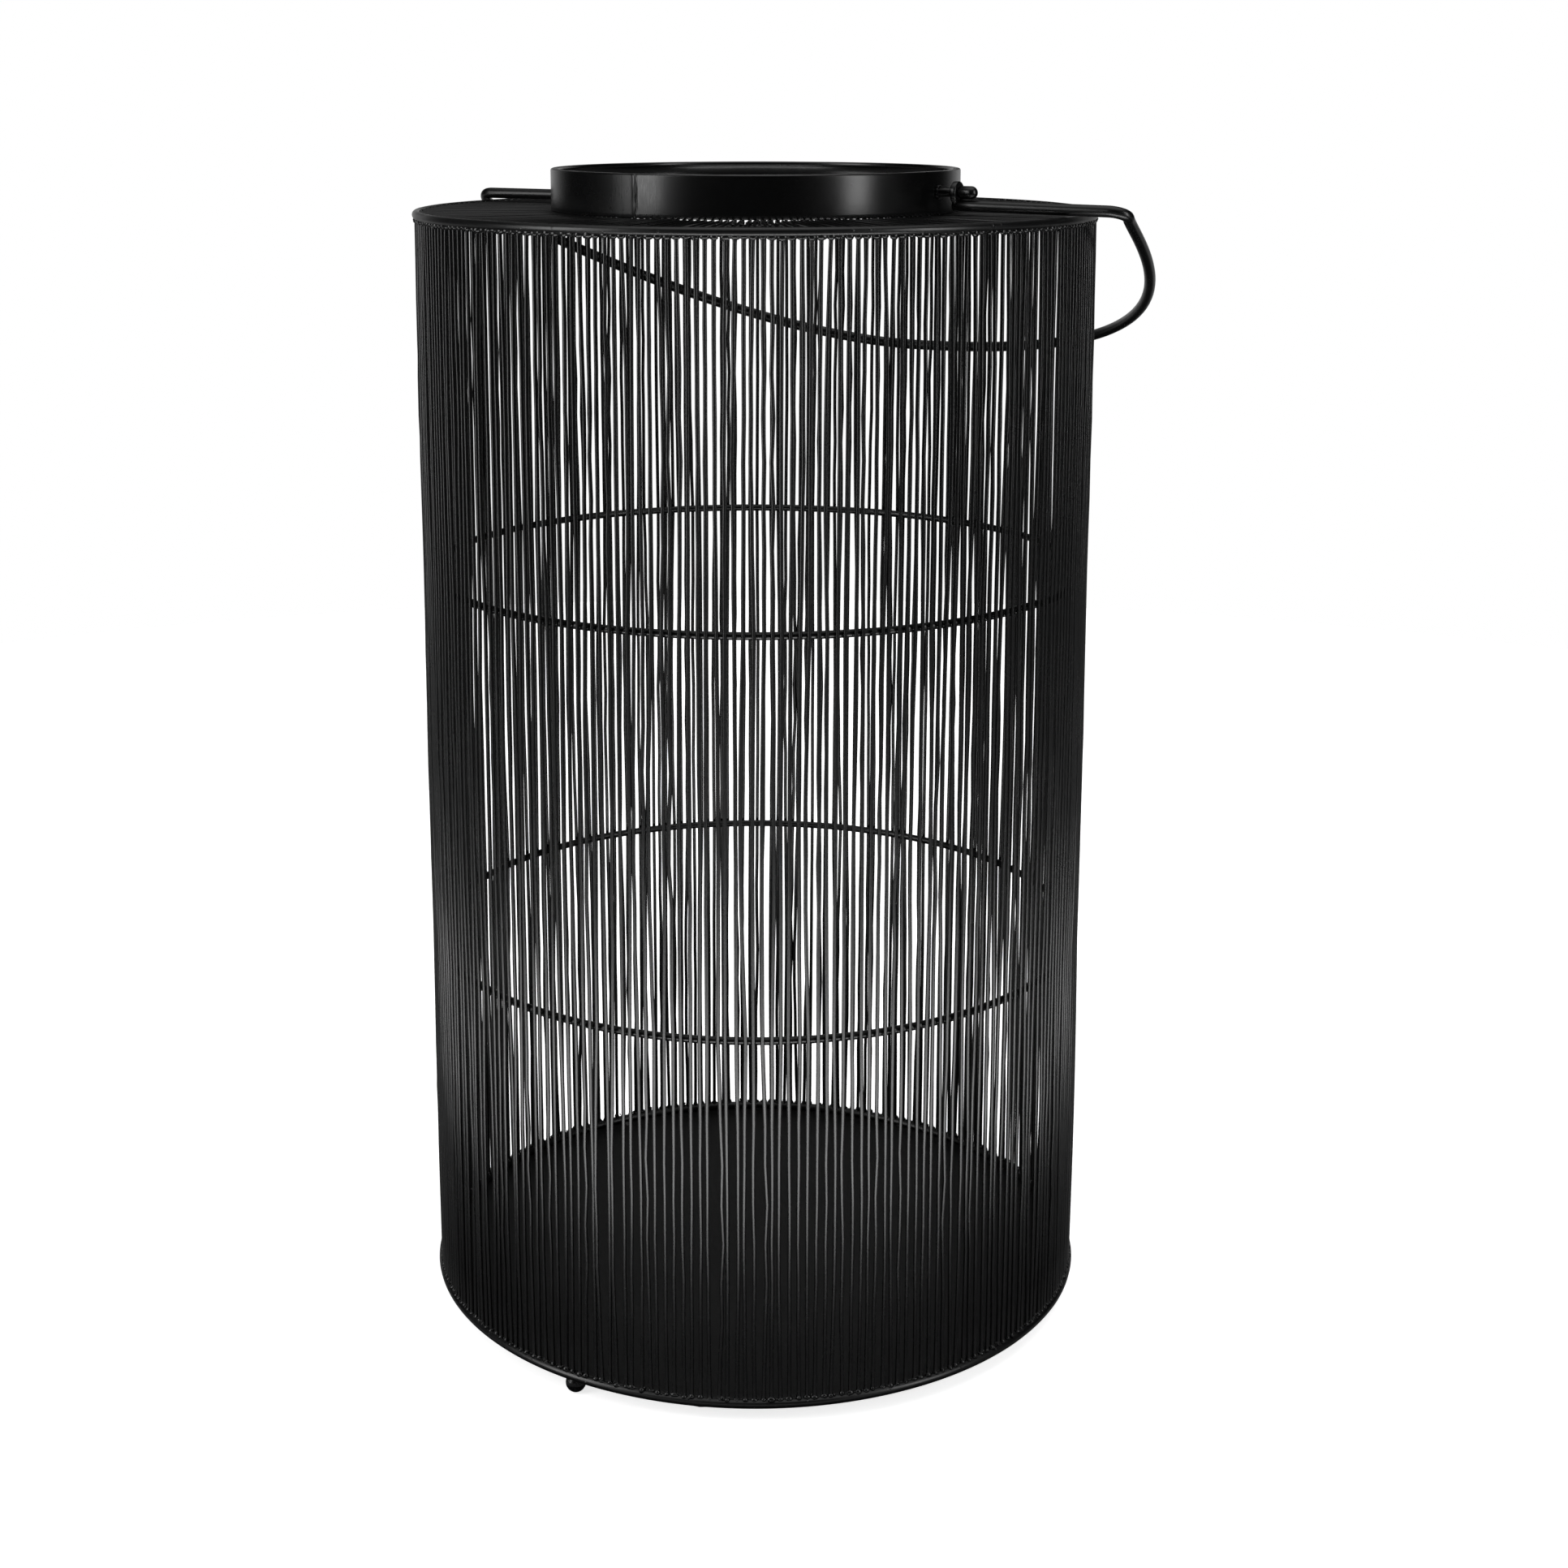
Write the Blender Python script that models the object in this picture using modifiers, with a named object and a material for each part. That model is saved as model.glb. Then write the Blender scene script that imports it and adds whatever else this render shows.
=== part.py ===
"""Candle lantern: a black wire cage on a sheet-metal base, with an open collar and a swinging bail.

Run with: blender --background --python part.py
Metres, +Z up. The origin is on the floor, on the lantern's centre line. +X is the axis of the bail's
two pins. The bail lies folded down over +Y, and the seam of the collar and the first foot are at -Y.
"""
import math

import bmesh
import bpy
from mathutils import Matrix, Vector

# ---- driving dimensions -------------------------------------------------------------------------
GAP = 0.0003                   # between pieces that touch
RING_STEPS = 72                # facets round the rings, the collar and the plate

TOP_RING_RADIUS = 0.1975       # centre line
TOP_RING_ROD = 0.0050          # diameter
TOP_RING_HEIGHT = 0.6669

BASE_RING_RADIUS = 0.20045
BASE_RING_ROD = 0.0055
BASE_RING_HEIGHT = 0.0118

HOOP_ROD = 0.0044
UPPER_HOOP_HEIGHT = 0.4564
LOWER_HOOP_HEIGHT = 0.2290

PANELS = 12                    # the wires are grouped in twelve equal sectors
WALL_WIRES_PER_PANEL = 21
WALL_WIRE = 0.0023
TOP_WIRES_PER_PANEL = 16
TOP_WIRE = 0.0016
WIRE_TUCK = 0.0024             # how far a top wire's end reaches in under the collar
WELD_STRIP = 0.0016            # height of the weld that runs along a panel's wires

COLLAR_RADIUS = 0.1197         # outside
COLLAR_SHEET = 0.0016
COLLAR_BOTTOM = 0.6686
COLLAR_TOP = 0.6926
COLLAR_RING_ROD = 0.0044       # the ring under the top wires' inner ends
COLLAR_LIP = 0.0048            # how far the rolled rim reaches in
LIP_DEPTH = 0.0026             # how tall the rolled rim is at its inner edge
RIM_ROUND = 0.0012

PLATE_THICKNESS = 0.0015
PLATE_TOP = BASE_RING_HEIGHT - 0.0015

FOOT_RADIUS = 0.0060           # of the ball
FOOT_FLAT = 0.0002             # how much of the ball is worn flat underneath
FOOT_CIRCLE = 0.1965
FIRST_FOOT_TURN = math.radians(-91.0)
FEET = 3

PIN_HEIGHT = 0.6811
PIN_DIAMETER = 0.0050
PIN_END = 0.1331               # distance from the centre line, as the rest of this group
EYE_INNER_FACE = 0.1295
EYE_OUTER_FACE = 0.1330
CAP_DIAMETER = 0.0074
CAP_END = 0.1438
EYE_DIAMETER = 0.0124
EYE_HOLE = 0.0058

BAIL_ROD = 0.0065
BAIL_DROP = 0.0073             # arms below the pins' axis, with the bail folded
BAIL_TILT = math.radians(25.0)  # how far the arch hangs below level, folded
BAIL_START = 0.1300            # where each arm starts, under its eye
# the bail is bent by hand, so its two sides differ: reach from the centre line, size of the corner,
# and the pull of the arch's curve
RIGHT_REACH, RIGHT_CORNER, RIGHT_PULL = 0.2300, 0.0086, 0.0300
LEFT_REACH, LEFT_CORNER, LEFT_PULL = 0.2060, 0.0130, 0.0250
RIGHT_START, RIGHT_DRIFT = -0.0005, 0.0022  # how far along the bail an arm starts and ends
LEFT_START, LEFT_DRIFT = 0.0, 0.0
RIGHT_LEAN = math.radians(-16.0)  # direction of the arch as it leaves the corner, + is outwards
LEFT_LEAN = math.radians(28.6)
CROWN_SIDE = -0.0100           # the highest point of the arch, off the middle
CROWN_LENGTH = 0.2504          # from the arms to the crown
CROWN_PULL_RIGHT, CROWN_PULL_LEFT = 0.2327, 0.1330
CORNER_ROUNDNESS = 0.55        # pull of a corner's curve, as a share of its size
CORNER_POINTS = 6
ARCH_POINTS = 16

RING_SIDES = 8                 # facets round a ring's rod
HOOP_SIDES = 6
PIN_SIDES = 20
EYE_SIDES = 24
HOLE_SIDES = 16
FOOT_SIDES = 16
FOOT_ARC_STEPS = 7
DOME_STEPS = 5

WALL_TOP = TOP_RING_HEIGHT - TOP_RING_ROD / 2 - GAP
WALL_BOTTOM = BASE_RING_HEIGHT + BASE_RING_ROD / 2 + GAP
TOP_WIRE_HEIGHT = COLLAR_BOTTOM - GAP - TOP_WIRE / 2
TOP_WIRE_INNER = COLLAR_RADIUS - WIRE_TUCK
TOP_WIRE_OUTER = TOP_RING_RADIUS - TOP_RING_ROD / 2 - GAP
COLLAR_RING_RADIUS = COLLAR_RADIUS - COLLAR_SHEET / 2
COLLAR_RING_HEIGHT = TOP_WIRE_HEIGHT - TOP_WIRE / 2 - GAP - COLLAR_RING_ROD / 2

BLACK = (0.0065, 0.0066, 0.0070, 1.0)


# ---- helpers ------------------------------------------------------------------------------------
def clear_scene():
    for old in list(bpy.data.objects):
        bpy.data.objects.remove(old, do_unlink=True)
    for old in list(bpy.data.collections):
        bpy.data.collections.remove(old)


def new_collection(name):
    made = bpy.data.collections.new(name)
    bpy.context.scene.collection.children.link(made)
    return made


def paint(name, roughness, metallic=0.0, colour=BLACK):
    made = bpy.data.materials.new(name)
    made.use_nodes = True
    shader = made.node_tree.nodes["Principled BSDF"]
    shader.inputs["Base Color"].default_value = colour
    shader.inputs["Roughness"].default_value = roughness
    shader.inputs["Metallic"].default_value = metallic
    made.diffuse_color = colour
    return made


def add_object(name, mesh, collection, material):
    made = bpy.data.objects.new(name, mesh)
    collection.objects.link(made)
    if material:
        mesh.materials.append(material)
    return made


def mesh_from_bmesh(name, shape, smooth_angle=math.radians(40.0)):
    mesh = bpy.data.meshes.new(name)
    shape.to_mesh(mesh)
    shape.free()
    mesh.shade_smooth()
    mesh.set_sharp_from_angle(angle=smooth_angle)
    return mesh


def wall_radius(height):
    """The wires' centre line: the cage widens slightly from the top ring to the base ring."""
    share = (TOP_RING_HEIGHT - height) / (TOP_RING_HEIGHT - BASE_RING_HEIGHT)
    return TOP_RING_RADIUS + (BASE_RING_RADIUS - TOP_RING_RADIUS) * share


def turned(name, profile, collection, material, steps=RING_STEPS, closed=True):
    """A profile of (radius, height) points turned about Z with a Screw modifier."""
    shape = bmesh.new()
    points = [shape.verts.new((radius, 0.0, height)) for radius, height in profile]
    pairs = list(zip(points, points[1:]))
    if closed:
        pairs.append((points[-1], points[0]))
    for first, second in pairs:
        shape.edges.new((first, second))
    made = add_object(name, mesh_from_bmesh(name, shape), collection, material)
    screw = made.modifiers.new("turn", "SCREW")
    screw.axis = "Z"
    screw.steps = steps
    screw.render_steps = steps
    screw.use_merge_vertices = True
    screw.merge_threshold = 0.00001
    screw.use_smooth_shade = True
    return made


def rod_ring(name, radius, rod, height, sides, collection, material):
    """A rod bent to a ring."""
    bpy.ops.mesh.primitive_torus_add(
        major_segments=RING_STEPS,
        minor_segments=sides,
        major_radius=radius,
        minor_radius=rod / 2,
        location=(0.0, 0.0, height),
    )
    made = bpy.context.object
    made.name = name
    made.data.name = name
    made.data.shade_smooth()
    made.data.materials.append(material)
    for old in list(made.users_collection):
        old.objects.unlink(made)
    collection.objects.link(made)
    return made


def comb(name, columns, rows, place, collection, material, thickness):
    """A comb of wires: one strip along the first row, and a tooth for each wire.

    columns holds each wire's angle, rows the strip's and the teeth's stations, and place turns
    (angle, side, row) into a point, where side is -1 or 1 for the two edges of a wire.
    """
    shape = bmesh.new()
    grid = []
    for row in rows:
        line = [shape.verts.new(place(angle, side, row)) for angle in columns for side in (-1, 1)]
        grid.append(line)
    strip, neck, tip = grid
    for left in range(len(strip) - 1):
        shape.faces.new((strip[left], neck[left], neck[left + 1], strip[left + 1]))
    for left in range(0, len(neck), 2):
        shape.faces.new((neck[left], tip[left], tip[left + 1], neck[left + 1]))
    mesh = mesh_from_bmesh(name, shape)
    made = add_object(name, mesh, collection, material)
    solid = made.modifiers.new("wire thickness", "SOLIDIFY")
    solid.thickness = thickness
    solid.offset = 0.0
    solid.use_even_offset = True
    return made


# ---- pieces -------------------------------------------------------------------------------------
def make_cage(collection):
    steel = paint("ring_black", 0.42)
    for name, radius, rod, height in (
        ("top_ring", TOP_RING_RADIUS, TOP_RING_ROD, TOP_RING_HEIGHT),
        ("base_ring", BASE_RING_RADIUS, BASE_RING_ROD, BASE_RING_HEIGHT),
        ("collar_ring", COLLAR_RING_RADIUS, COLLAR_RING_ROD, COLLAR_RING_HEIGHT),
    ):
        rod_ring(name, radius, rod, height, RING_SIDES, collection, steel)
    hoop = paint("hoop_black", 0.45)
    for name, height in (("upper_hoop", UPPER_HOOP_HEIGHT), ("lower_hoop", LOWER_HOOP_HEIGHT)):
        radius = wall_radius(height) - WALL_WIRE / 2 - GAP - HOOP_ROD / 2
        rod_ring(name, radius, HOOP_ROD, height, HOOP_SIDES, collection, hoop)


def make_wall_wires(collection):
    wire = paint("wall_wire_black", 0.40)
    pitch = 2.0 * math.pi / (PANELS * WALL_WIRES_PER_PANEL)

    def place(angle, side, height):
        radius = wall_radius(height)
        turn = angle + side * math.asin(WALL_WIRE / 2 / radius)
        return (radius * math.cos(turn), radius * math.sin(turn), height)

    for panel in range(PANELS):
        first = panel * WALL_WIRES_PER_PANEL
        columns = [(first + wire_number + 0.5) * pitch for wire_number in range(WALL_WIRES_PER_PANEL)]
        rows = (WALL_TOP, WALL_TOP - WELD_STRIP, WALL_BOTTOM)
        comb(f"wall_wires_{panel + 1:02d}", columns, rows, place, collection, wire, WALL_WIRE)


def make_top_wires(collection):
    wire = paint("top_wire_black", 0.40)
    pitch = 2.0 * math.pi / (PANELS * TOP_WIRES_PER_PANEL)

    def place(angle, side, radius):
        turn = angle + side * math.asin(TOP_WIRE / 2 / radius)
        return (radius * math.cos(turn), radius * math.sin(turn), TOP_WIRE_HEIGHT)

    for panel in range(PANELS):
        first = panel * TOP_WIRES_PER_PANEL
        columns = [(first + wire_number + 0.5) * pitch for wire_number in range(TOP_WIRES_PER_PANEL)]
        rows = (TOP_WIRE_INNER, TOP_WIRE_INNER + WELD_STRIP, TOP_WIRE_OUTER)
        comb(f"top_wires_{panel + 1:02d}", columns, rows, place, collection, wire, TOP_WIRE)


def make_collar(collection):
    """A sheet band, closed by a butt seam, with its top edge rolled inwards."""
    inner = COLLAR_RADIUS - COLLAR_SHEET
    lip = COLLAR_RADIUS - COLLAR_LIP
    profile = [
        (lip, COLLAR_TOP - LIP_DEPTH),
        (lip, COLLAR_TOP - RIM_ROUND),
        (lip + RIM_ROUND, COLLAR_TOP),
        (COLLAR_RADIUS - RIM_ROUND, COLLAR_TOP),
        (COLLAR_RADIUS, COLLAR_TOP - RIM_ROUND),
        (COLLAR_RADIUS, COLLAR_BOTTOM),
        (inner, COLLAR_BOTTOM),
        (inner, COLLAR_TOP - LIP_DEPTH),
    ]
    return turned("collar", profile, collection, paint("collar_black", 0.38))


def make_base_plate(collection):
    radius = BASE_RING_RADIUS - BASE_RING_ROD / 2 - 2.0 * GAP
    shape = bmesh.new()
    bmesh.ops.create_cone(
        shape,
        cap_ends=True,
        segments=RING_STEPS,
        radius1=radius,
        radius2=radius,
        depth=PLATE_THICKNESS,
        matrix=Matrix.Translation((0.0, 0.0, PLATE_TOP - PLATE_THICKNESS / 2)),
    )
    mesh = mesh_from_bmesh("base_plate", shape)
    return add_object("base_plate", mesh, collection, paint("plate_black", 0.50))


def make_feet(collection):
    """Balls under the edge of the plate, cut flat where they meet it and where they stand."""
    black = paint("foot_black", 0.40)
    top = PLATE_TOP - PLATE_THICKNESS - GAP
    centre = FOOT_RADIUS - FOOT_FLAT
    high = math.asin((top - centre) / FOOT_RADIUS)
    low = math.asin((0.0 - centre) / FOOT_RADIUS)
    arc = [high + (low - high) * step / FOOT_ARC_STEPS for step in range(FOOT_ARC_STEPS + 1)]
    profile = [(0.0, top)]
    profile += [(FOOT_RADIUS * math.cos(a), centre + FOOT_RADIUS * math.sin(a)) for a in arc]
    profile += [(0.0, 0.0)]
    for number in range(FEET):
        turn = FIRST_FOOT_TURN + number * 2.0 * math.pi / FEET
        name = f"ball_foot_{number + 1}"
        foot = turned(name, profile, collection, black, steps=FOOT_SIDES, closed=False)
        foot.location = (FOOT_CIRCLE * math.cos(turn), FOOT_CIRCLE * math.sin(turn), 0.0)


def along_x(side):
    """Turns a shape that was made along +Z so that it points along +X or -X, at the pins' height."""
    return Matrix.Translation((0.0, 0.0, PIN_HEIGHT)) @ Matrix.Rotation(side * math.pi / 2, 4, "Y")


def cylinder_mesh(name, diameter, start, end, side, segments):
    shape = bmesh.new()
    middle = Matrix.Translation((0.0, 0.0, (start + end) / 2))
    bmesh.ops.create_cone(
        shape,
        cap_ends=True,
        segments=segments,
        radius1=diameter / 2,
        radius2=diameter / 2,
        depth=end - start,
        matrix=along_x(side) @ middle,
    )
    return mesh_from_bmesh(name, shape)


def make_pins(collection):
    """A pin welded to each side of the collar, with a domed cap that keeps the bail's eye on it."""
    black = paint("pin_black", 0.35)
    for side, word in ((1, "right"), (-1, "left")):
        name = f"pivot_pin_{word}"
        mesh = cylinder_mesh(name, PIN_DIAMETER, COLLAR_RADIUS + GAP, PIN_END, side, PIN_SIDES)
        add_object(name, mesh, collection, black)
        start = PIN_END + GAP
        radius = CAP_DIAMETER / 2
        dome_start = CAP_END - radius
        arc = [math.pi / 2 * step / DOME_STEPS for step in range(1, DOME_STEPS + 1)]
        profile = [(0.0, CAP_END)]
        profile += [(radius * math.sin(a), dome_start + radius * math.cos(a)) for a in arc]
        profile += [(radius, start), (0.0, start)]
        name = f"pin_cap_{word}"
        cap = turned(name, profile, collection, black, steps=PIN_SIDES, closed=False)
        cap.matrix_world = along_x(side)


def bezier(start, pull_out, pull_in, end, count):
    """Points along a cubic curve, without its first point."""
    points = []
    for number in range(1, count + 1):
        t = number / count
        u = 1.0 - t
        leaving = start * u ** 3 + pull_out * (3.0 * u * u * t)
        arriving = pull_in * (3.0 * u * t * t) + end * t ** 3
        points.append(leaving + arriving)
    return points


def bail_side(reach, corner, start, drift, lean, pull, crown_pull):
    """Half of the bail's outline, from under the eye to the crown, drawn as if on the right."""
    arm_start = Vector((BAIL_START, start))
    arm_end = Vector((reach - corner, drift))
    knee = Vector((reach, drift + corner))
    along = (arm_end - arm_start).normalized()
    away = Vector((math.sin(lean), math.cos(lean)))
    points = [arm_start, (arm_start + arm_end) / 2, arm_end]
    bend = corner * CORNER_ROUNDNESS
    points += bezier(arm_end, arm_end + along * bend, knee - away * bend, knee, CORNER_POINTS)
    side = 1.0 if crown_pull > 0 else -1.0
    crown = Vector((side * CROWN_SIDE, CROWN_LENGTH))
    crown_in = crown + Vector((abs(crown_pull), 0.0))
    points += bezier(knee, knee + away * pull, crown_in, crown, ARCH_POINTS)
    return points


def bail_outline():
    right = bail_side(RIGHT_REACH, RIGHT_CORNER, RIGHT_START, RIGHT_DRIFT, RIGHT_LEAN, RIGHT_PULL,
                      CROWN_PULL_RIGHT)
    left = bail_side(LEFT_REACH, LEFT_CORNER, LEFT_START, LEFT_DRIFT, LEFT_LEAN, LEFT_PULL,
                     -CROWN_PULL_LEFT)
    return right + [Vector((-p.x, p.y)) for p in reversed(left[:-1])]


def make_bail(collection, cutters):
    """A bent rod with a flat eye at each end. Its origin is on the pins' axis."""
    black = paint("bail_black", 0.38)
    curve = bpy.data.curves.new("bail_rod", "CURVE")
    curve.dimensions = "3D"
    curve.bevel_depth = BAIL_ROD / 2
    curve.bevel_resolution = 2
    curve.use_fill_caps = True
    outline = bail_outline()
    spline = curve.splines.new("POLY")
    spline.points.add(len(outline) - 1)
    for point, flat in zip(spline.points, outline):
        behind = flat.y * math.cos(BAIL_TILT)
        below = BAIL_DROP + flat.y * math.sin(BAIL_TILT)
        point.co = (flat.x, behind, -below, 1.0)
    rod = bpy.data.objects.new("bail_rod", curve)
    collection.objects.link(rod)
    rod.location = (0.0, 0.0, PIN_HEIGHT)
    bpy.context.view_layer.update()
    mesh = bpy.data.meshes.new_from_object(rod.evaluated_get(bpy.context.evaluated_depsgraph_get()))
    shape = bmesh.new()
    shape.from_mesh(mesh)
    bmesh.ops.remove_doubles(shape, verts=shape.verts, dist=0.00001)
    bmesh.ops.recalc_face_normals(shape, faces=shape.faces)
    bpy.data.meshes.remove(mesh)
    bail = add_object("bail_handle", mesh_from_bmesh("bail_handle", shape), collection, black)
    bail.matrix_world = rod.matrix_world
    bpy.data.objects.remove(rod)
    bpy.data.curves.remove(curve)
    for side, word in ((1, "right"), (-1, "left")):
        name = f"eye_{word}"
        mesh = cylinder_mesh(name, EYE_DIAMETER, EYE_INNER_FACE, EYE_OUTER_FACE, side, EYE_SIDES)
        add_tool(bail, name, mesh, "UNION", cutters)
    for side, word in ((1, "right"), (-1, "left")):
        hole_start = EYE_INNER_FACE - EYE_HOLE
        hole_end = EYE_OUTER_FACE + EYE_HOLE
        name = f"eye_hole_{word}"
        mesh = cylinder_mesh(name, EYE_HOLE, hole_start, hole_end, side, HOLE_SIDES)
        add_tool(bail, name, mesh, "DIFFERENCE", cutters)
    return bail


def add_tool(target, name, mesh, operation, cutters):
    tool = add_object(name, mesh, cutters, None)
    tool.hide_render = True
    tool.display_type = "WIRE"
    boolean = target.modifiers.new(name, "BOOLEAN")
    boolean.operation = operation
    boolean.solver = "EXACT"
    boolean.object = tool


def main():
    clear_scene()
    lantern = new_collection("candle_lantern")
    cutters = new_collection("cutters")
    make_cage(lantern)
    make_wall_wires(lantern)
    make_top_wires(lantern)
    make_collar(lantern)
    make_base_plate(lantern)
    make_feet(lantern)
    make_pins(lantern)
    make_bail(lantern, cutters)


main()
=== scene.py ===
"""Looks of the candle lantern: round welded wires, rolled rings, collar, plate and bail in black lacquer.

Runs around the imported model. Metres, +Z up, +X is the axis of the bail's two pins.
"""
import math
import random

import bmesh
import bpy
from mathutils import Matrix, Vector, noise


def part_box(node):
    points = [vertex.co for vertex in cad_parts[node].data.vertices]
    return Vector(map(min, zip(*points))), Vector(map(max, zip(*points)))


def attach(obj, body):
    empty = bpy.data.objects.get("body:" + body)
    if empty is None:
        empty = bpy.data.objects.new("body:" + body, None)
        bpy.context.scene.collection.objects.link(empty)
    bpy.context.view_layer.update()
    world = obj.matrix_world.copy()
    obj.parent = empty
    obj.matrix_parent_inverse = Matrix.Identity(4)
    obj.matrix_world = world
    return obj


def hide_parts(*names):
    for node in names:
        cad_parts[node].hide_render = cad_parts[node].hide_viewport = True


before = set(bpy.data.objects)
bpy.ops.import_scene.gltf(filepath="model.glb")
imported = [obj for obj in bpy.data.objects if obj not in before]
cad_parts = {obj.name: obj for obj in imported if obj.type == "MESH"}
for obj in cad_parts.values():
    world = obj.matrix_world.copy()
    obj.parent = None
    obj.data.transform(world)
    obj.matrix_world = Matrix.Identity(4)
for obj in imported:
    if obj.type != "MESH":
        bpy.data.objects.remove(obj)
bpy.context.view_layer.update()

# ---- the lantern's stock and sizes --------------------------------------------------------------
TOP_ROD = 0.0050               # diameters of the rods and wires
BASE_ROD = 0.0055
HOOP_ROD = 0.0044
COLLAR_RING_ROD = 0.0044
WALL_WIRE = 0.0023
TOP_WIRE = 0.0016
BAIL_ROD = 0.0065
COLLAR_SHEET = 0.0016
COLLAR_LIP = 0.0048            # how far the rolled rim reaches in
LIP_DEPTH = 0.0026             # how tall the rolled rim is at its inner edge
RIM_ROUND = 0.0012
SECTORS = 12                   # the wires come in twelve equal groups
WALL_WIRES = 21                # in a group
TOP_WIRES = 16
SEAM_TURN = math.radians(-92.2)  # where the collar's butt weld is, from +X
EYE_DIAMETER = 0.0124
EYE_HOLE = 0.0058
EYE_WIDTH = 0.0035
PIN_DIAMETER = 0.0050
CAP_DIAMETER = 0.0074

# the bail is bent by hand, so its two sides differ: reach from the centre line, size of the corner,
# where along the bail the arm starts and ends, direction of the arch after the corner, and the pulls
# of the arch's curve
BAIL_TILT = math.radians(25.0)
BAIL_DROP = 0.0073
BAIL_START = 0.1300
RIGHT_SIDE = dict(reach=0.2300, corner=0.0086, arm=(-0.0005, 0.0022), lean=-16.0, pull=0.0300,
                  crown_pull=0.2327)
LEFT_SIDE = dict(reach=0.2060, corner=0.0130, arm=(0.0, 0.0), lean=28.6, pull=0.0250,
                 crown_pull=0.1330)
CROWN_SIDE = -0.0100
CROWN_LENGTH = 0.2504
UP = Vector((0.0, 0.0, 1.0))
CORNER_ROUNDNESS = 0.55


def ring_place(node, rod):
    """Centre-line radius and height of a rolled ring, from its node's box."""
    low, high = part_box(node)
    return high.x - rod / 2, (low.z + high.z) / 2


TOP_RADIUS, TOP_HEIGHT = ring_place("top_ring", TOP_ROD)
BASE_RADIUS, BASE_HEIGHT = ring_place("base_ring", BASE_ROD)
UPPER_RADIUS, UPPER_HEIGHT = ring_place("upper_hoop", HOOP_ROD)
LOWER_RADIUS, LOWER_HEIGHT = ring_place("lower_hoop", HOOP_ROD)
UNDER_RADIUS, UNDER_HEIGHT = ring_place("collar_ring", COLLAR_RING_ROD)
COLLAR_LOW, COLLAR_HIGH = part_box("collar")
COLLAR_RADIUS = COLLAR_HIGH.x
PLATE_LOW, PLATE_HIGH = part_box("base_plate")
TOP_WIRE_LEVEL = COLLAR_LOW.z - TOP_WIRE / 2
WALL_TOP = TOP_HEIGHT - TOP_ROD / 2
WALL_BOTTOM = BASE_HEIGHT + BASE_ROD / 2
PIN_LOW, PIN_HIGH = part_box("pivot_pin_right")
PIN_HEIGHT = (PIN_LOW.z + PIN_HIGH.z) / 2
CAP_LOW, CAP_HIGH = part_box("pin_cap_right")


# ---- shader nodes as arithmetic -----------------------------------------------------------------
class Shade:
    """A shader socket that Python's arithmetic works on: shade * 2 + other adds the Math nodes."""

    def __init__(self, maker, socket):
        self.maker = maker
        self.socket = socket

    def math(self, operation, first, second=0.0):
        return self.maker.node("ShaderNodeMath", {"operation": operation}, {0: first, 1: second})

    def __add__(self, other):
        return self.math("ADD", self, other)

    def __mul__(self, other):
        return self.math("MULTIPLY", self, other)

    def __sub__(self, other):
        return self.math("SUBTRACT", self, other)

    def __rsub__(self, other):
        return self.math("SUBTRACT", other, self)

    __radd__ = __add__
    __rmul__ = __mul__

    def between(self, low, high):
        """0 below low, 1 above high, and a smooth step between."""
        settings = {"interpolation_type": "SMOOTHSTEP"}
        sockets = {"Value": self, "From Min": low, "From Max": high}
        return self.maker.node("ShaderNodeMapRange", settings, sockets)


class NodeMaker:
    """Adds nodes to one material's or the world's tree."""

    def __init__(self, owner):
        owner.use_nodes = True
        self.owner = owner
        self.tree = owner.node_tree
        self.tree.nodes.clear()

    def node(self, kind, settings=None, sockets=None, output=0):
        made = self.tree.nodes.new(kind)
        for name, value in (settings or {}).items():
            setattr(made, name, value)
        for name, value in (sockets or {}).items():
            if isinstance(value, Shade):
                self.tree.links.new(value.socket, made.inputs[name])
            else:
                made.inputs[name].default_value = value
        return Shade(self, made.outputs[output]) if made.outputs else made

    def noise(self, place, size, detail=2.0, roughness=0.5):
        """Cloudy noise whose lumps are about size across."""
        sockets = {"Vector": place, "Scale": 1.0 / size, "Detail": detail, "Roughness": roughness}
        return self.node("ShaderNodeTexNoise", None, sockets)

    def facing_up(self):
        """1 where the surface faces straight up, 0 on a wall."""
        normal = self.node("ShaderNodeNewGeometry", output="Normal")
        return self.node("ShaderNodeSeparateXYZ", None, {0: normal}, "Z")

    def colours(self, share, first, second):
        """A blend of two colours."""
        made = self.node("ShaderNodeMix", {"data_type": "RGBA"}, {"Factor": share}, output="Result")
        mix = made.socket.node
        for name, colour in (("A", first), ("B", second)):
            socket = next(s for s in mix.inputs if s.name == name and s.type == "RGBA")
            if isinstance(colour, Shade):
                self.tree.links.new(colour.socket, socket)
            else:
                socket.default_value = (*colour, 1.0)
        return Shade(self, next(s for s in mix.outputs if s.type == "RGBA"))


LACQUER_BLACK = (0.0014, 0.0015, 0.0016)
DUSTY_BLACK = (0.0110, 0.0108, 0.0105)
RUBBED_BLACK = (0.0042, 0.0044, 0.0047)
SPATTER_PITCH = 0.006          # between drops of weld spatter
LACQUER_IOR = 1.5


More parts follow.
